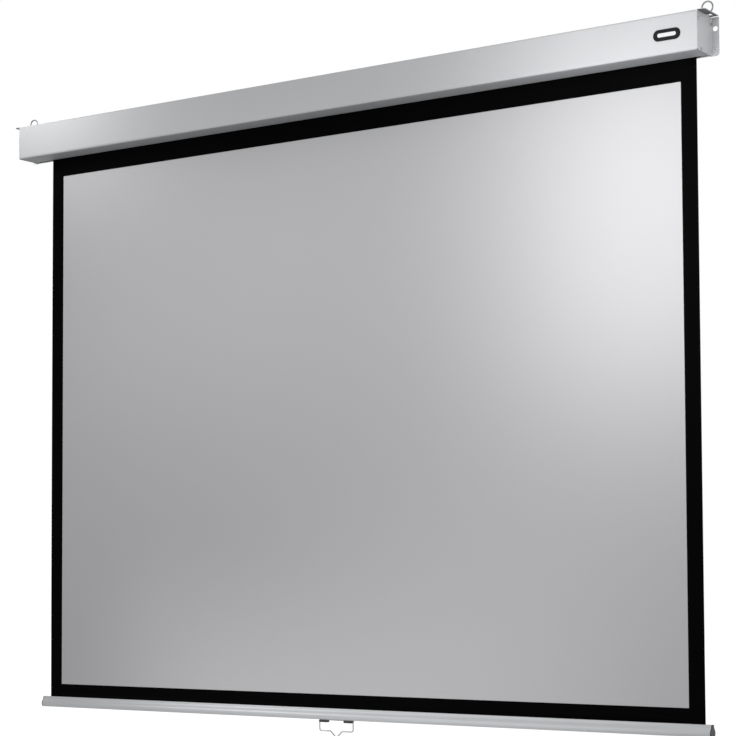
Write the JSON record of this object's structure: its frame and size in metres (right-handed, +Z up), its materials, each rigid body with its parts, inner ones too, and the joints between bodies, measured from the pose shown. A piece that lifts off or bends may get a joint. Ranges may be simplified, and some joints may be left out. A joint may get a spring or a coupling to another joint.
{
  "type": "pull down projector screen",
  "caption": "Wall hung projector screen: silver casing, grey fabric with black borders on a locking spring roller, weight bar, wire pull handle.",
  "frame": {"origin": "middle of the casing's flat back face, where it lies on the wall", "axes": "+X along the casing to the right seen from the front, +Y into the wall, +Z up"},
  "size_m": [2.229, 0.0855, 1.7984],
  "materials": {
    "satin_aluminium": "satin anodised",
    "silver_paint": "satin silver paint",
    "zinc_steel": "zinc plated",
    "spring_steel": "oiled",
    "bright_wire": "bright",
    "brass": "plain",
    "black_plastic": "matt",
    "grey_plastic": "matt",
    "black_fabric": "matt",
    "screen_grey": "soft sheen, black borders"
  },
  "bodies": {
    "casing": {"casing_shell": "satin_aluminium", "name_plate": "satin_aluminium", "end_bracket_left": "silver_paint", "end_bracket_right": "silver_paint", "bracket_screw_left_1": "zinc_steel", "bracket_screw_left_2": "zinc_steel", "bracket_screw_left_3": "zinc_steel", "bracket_screw_right_1": "zinc_steel", "bracket_screw_right_2": "zinc_steel", "bracket_screw_right_3": "zinc_steel", "bush_housing": "zinc_steel", "idler_bush": "brass", "spring_shaft": "zinc_steel", "spear_socket": "zinc_steel", "spring_anchor": "grey_plastic", "anchor_pin": "spring_steel", "torsion_spring": "spring_steel", "shaft_clip": "spring_steel", "ratchet_wheel": "zinc_steel", "screen_fabric": "screen_grey"},
    "roller": {"roller_tube": "satin_aluminium", "fabric_spline": "black_plastic", "wound_fabric": "black_fabric", "idler_plug": "grey_plastic", "idler_pin": "zinc_steel", "spring_drive_plug": "grey_plastic", "lock_housing": "grey_plastic", "lock_cover": "zinc_steel", "lock_bush": "brass", "pawl_pin_upper": "spring_steel", "pawl_pin_lower": "spring_steel"},
    "bar": {"weight_bar": "satin_aluminium", "hem_rod": "zinc_steel", "bar_end_cap_left": "black_plastic", "bar_end_cap_right": "black_plastic", "handle_strap": "silver_paint", "handle_clip_left": "black_plastic", "handle_clip_right": "black_plastic", "handle_screw_left": "zinc_steel", "handle_screw_right": "zinc_steel"},
    "handle": {"pull_handle": "bright_wire"},
    "ring_left": {"hanging_ring_left": "bright_wire"},
    "ring_right": {"hanging_ring_right": "bright_wire"},
    "pawl_upper": {"lock_pawl_upper": "zinc_steel"},
    "pawl_lower": {"lock_pawl_lower": "zinc_steel"}
  },
  "joints": [
    {"name": "bar_slide", "type": "slide", "parent": "casing", "child": "bar", "axis": [0, 0, 1], "range_m": [0, 1.586], "deforming": ["screen_fabric"]},
    {"name": "roller_turn", "type": "hinge", "parent": "casing", "child": "roller", "pos_m": [0, -0.03664, 0.008], "axis": [1, 0, 0], "range_deg": [0, 3600]},
    {"name": "handle_swing", "type": "hinge", "parent": "bar", "child": "handle", "pos_m": [0, -0.014, -1.673], "axis": [1, 0, 0], "range_deg": [-90, 15]},
    {"name": "ring_swing_left", "type": "hinge", "parent": "casing", "child": "ring_left", "pos_m": [-1.0945, -0.022, 0.0524], "axis": [1, 0, 0], "range_deg": [-45, 92]},
    {"name": "ring_swing_right", "type": "hinge", "parent": "casing", "child": "ring_right", "pos_m": [1.0945, -0.022, 0.0524], "axis": [1, 0, 0], "range_deg": [-45, 92]},
    {"name": "pawl_drop_upper", "type": "hinge", "parent": "roller", "child": "pawl_upper", "pos_m": [-1.0675, -0.02614, 0.0168], "axis": [1, 0, 0], "range_deg": [0, 20]},
    {"name": "pawl_drop_lower", "type": "hinge", "parent": "roller", "child": "pawl_lower", "pos_m": [-1.0675, -0.04714, -0.0008], "axis": [1, 0, 0], "range_deg": [0, 20]}
  ],
  "couplings": [
    {"joint": "roller_turn", "follows": "bar_slide", "rad_per_m": 39.617}
  ]
}
